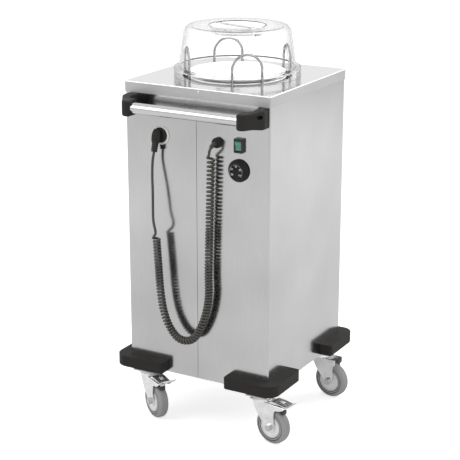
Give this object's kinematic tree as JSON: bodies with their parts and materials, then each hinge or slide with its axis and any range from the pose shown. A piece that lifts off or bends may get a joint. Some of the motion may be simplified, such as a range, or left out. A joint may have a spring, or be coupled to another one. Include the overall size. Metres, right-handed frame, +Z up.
{
  "type": "plate warmer cabinet",
  "caption": "Mobile heated plate dispenser: square steel cabinet on braked castors with a sprung plate well, clear dome lid, push bar, thermostat and curly cord.",
  "frame": {"origin": "centre of the bounding box in plan, on the floor", "axes": "+Z up, -Y out of the front that carries the push bar and controls, +X to the right of that front"},
  "size_m": [0.5396, 0.536, 1.072],
  "materials": {
    "cover_steel": "polished",
    "casing_steel": "fine brushed",
    "galvanised_steel": "dull",
    "mineral_wool": "matt",
    "guide_wire": "polished",
    "element_sheath": "dull",
    "terminal_plastic": "matt",
    "spring_steel": "satin",
    "glazed_china": "glossy",
    "clear_plastic": "clear",
    "handle_tube": "satin",
    "black_moulding": "fine grained",
    "screw_steel": "satin",
    "white_moulding": "semi-gloss",
    "switch_black": "semi-gloss",
    "green_lens": "translucent",
    "cord_sheath": "semi-matt",
    "bumper_rubber": "matt",
    "castor_zinc": "bright zinc",
    "wheel_centre": "matt",
    "tyre_rubber": "matt",
    "pad_rubber": "matt"
  },
  "bodies": {
    "root": {"base_pan": "galvanised_steel", "bumper_back_left": "bumper_rubber", "bumper_back_right": "bumper_rubber", "bumper_front_left": "bumper_rubber", "bumper_front_right": "bumper_rubber", "casing_left": "casing_steel", "casing_right": "casing_steel", "castor_mounts": "galvanised_steel", "castor_stems": "screw_steel", "cord_coil": "cord_sheath", "cord_gland": "black_moulding", "deck_cover": "cover_steel", "deck_rivets": "screw_steel", "gland_lead": "cord_sheath", "guide_ring_base": "galvanised_steel", "guide_ring_top": "galvanised_steel", "handle_bracket_left": "black_moulding", "handle_bracket_right": "black_moulding", "heating_element": "element_sheath", "insulation_jacket": "mineral_wool", "lift_springs": "spring_steel", "panel_screws": "screw_steel", "parking_socket": "white_moulding", "plug": "black_moulding", "plug_lead": "cord_sheath", "push_bar": "handle_tube", "switch_frame": "switch_black", "terminal_box": "terminal_plastic", "thermostat_body": "terminal_plastic", "well_tube": "galvanised_steel", "wire_guide_back": "guide_wire", "wire_guide_front": "guide_wire", "wire_guide_left": "guide_wire", "wire_guide_right": "guide_wire"},
    "lid": {"lid": "clear_plastic"},
    "plate_lift": {"platform": "galvanised_steel", "plates": "glazed_china"},
    "switch_rocker": {"switch_rocker": "green_lens"},
    "thermostat_knob": {"thermostat_knob": "switch_black", "thermostat_spindle": "screw_steel"},
    "swivel_front_right": {"castor_fork_front_right": "castor_zinc", "castor_axle_front_right": "castor_zinc"},
    "wheel_front_right": {"castor_hub_front_right": "wheel_centre", "castor_tyre_front_right": "tyre_rubber"},
    "brake_front_right": {"brake_pedal_front_right": "castor_zinc", "brake_pad_front_right": "pad_rubber"},
    "swivel_front_left": {"castor_fork_front_left": "castor_zinc", "castor_axle_front_left": "castor_zinc"},
    "wheel_front_left": {"castor_hub_front_left": "wheel_centre", "castor_tyre_front_left": "tyre_rubber"},
    "brake_front_left": {"brake_pedal_front_left": "castor_zinc", "brake_pad_front_left": "pad_rubber"},
    "swivel_back_right": {"castor_fork_back_right": "castor_zinc", "castor_axle_back_right": "castor_zinc"},
    "wheel_back_right": {"castor_hub_back_right": "wheel_centre", "castor_tyre_back_right": "tyre_rubber"},
    "swivel_back_left": {"castor_fork_back_left": "castor_zinc", "castor_axle_back_left": "castor_zinc"},
    "wheel_back_left": {"castor_hub_back_left": "wheel_centre", "castor_tyre_back_left": "tyre_rubber"}
  },
  "joints": [
    {"name": "lid_lift", "type": "slide", "parent": "root", "child": "lid", "axis": [0, 0, 1], "range_m": [0, 0.25]},
    {"name": "plate_lift_travel", "type": "slide", "parent": "root", "child": "plate_lift", "axis": [0, 0, -1], "range_m": [0, 0.42], "stiffness_N_per_m": 590, "springref_m": -0.15, "deforming": ["lift_springs"]},
    {"name": "rocker_tilt", "type": "hinge", "parent": "root", "child": "switch_rocker", "pos_m": [0.10449, -0.194, 0.807], "axis": [1, 0, 0], "range_deg": [-18, 0]},
    {"name": "thermostat_turn", "type": "hinge", "parent": "root", "child": "thermostat_knob", "pos_m": [0.10249, -0.192, 0.7417], "axis": [0, 1, 0], "range_deg": [0, 270]},
    {"name": "swivel_turn_front_right", "type": "hinge", "parent": "root", "child": "swivel_front_right", "pos_m": [0.15449, -0.156, 0.118], "axis": [0, 0, 1], "continuous": true},
    {"name": "wheel_turn_front_right", "type": "hinge", "parent": "swivel_front_right", "child": "wheel_front_right", "pos_m": [0.19191, -0.1626, 0.05], "axis": [0.1736, 0.9848, 0], "continuous": true},
    {"name": "brake_press_front_right", "type": "hinge", "parent": "swivel_front_right", "child": "brake_front_right", "pos_m": [0.20373, -0.16468, 0.11], "axis": [0.1736, 0.9848, 0], "range_deg": [0, 7]},
    {"name": "swivel_turn_front_left", "type": "hinge", "parent": "root", "child": "swivel_front_left", "pos_m": [-0.19951, -0.156, 0.118], "axis": [0, 0, 1], "continuous": true},
    {"name": "wheel_turn_front_left", "type": "hinge", "parent": "swivel_front_left", "child": "wheel_front_left", "pos_m": [-0.1666, -0.175, 0.05], "axis": [0.5, 0.866, 0], "continuous": true},
    {"name": "brake_press_front_left", "type": "hinge", "parent": "swivel_front_left", "child": "brake_front_left", "pos_m": [-0.15621, -0.181, 0.11], "axis": [0.5, 0.866, 0], "range_deg": [0, 7]},
    {"name": "swivel_turn_back_right", "type": "hinge", "parent": "root", "child": "swivel_back_right", "pos_m": [0.15449, 0.198, 0.118], "axis": [0, 0, 1], "continuous": true},
    {"name": "wheel_turn_back_right", "type": "hinge", "parent": "swivel_back_right", "child": "wheel_back_right", "pos_m": [0.19212, 0.19271, 0.05], "axis": [0.1392, 0.9903, 0], "continuous": true},
    {"name": "swivel_turn_back_left", "type": "hinge", "parent": "root", "child": "swivel_back_left", "pos_m": [-0.19951, 0.198, 0.118], "axis": [0, 0, 1], "continuous": true},
    {"name": "wheel_turn_back_left", "type": "hinge", "parent": "swivel_back_left", "child": "wheel_back_left", "pos_m": [-0.16428, 0.18377, 0.05], "axis": [0.3746, 0.9272, 0], "continuous": true}
  ]
}
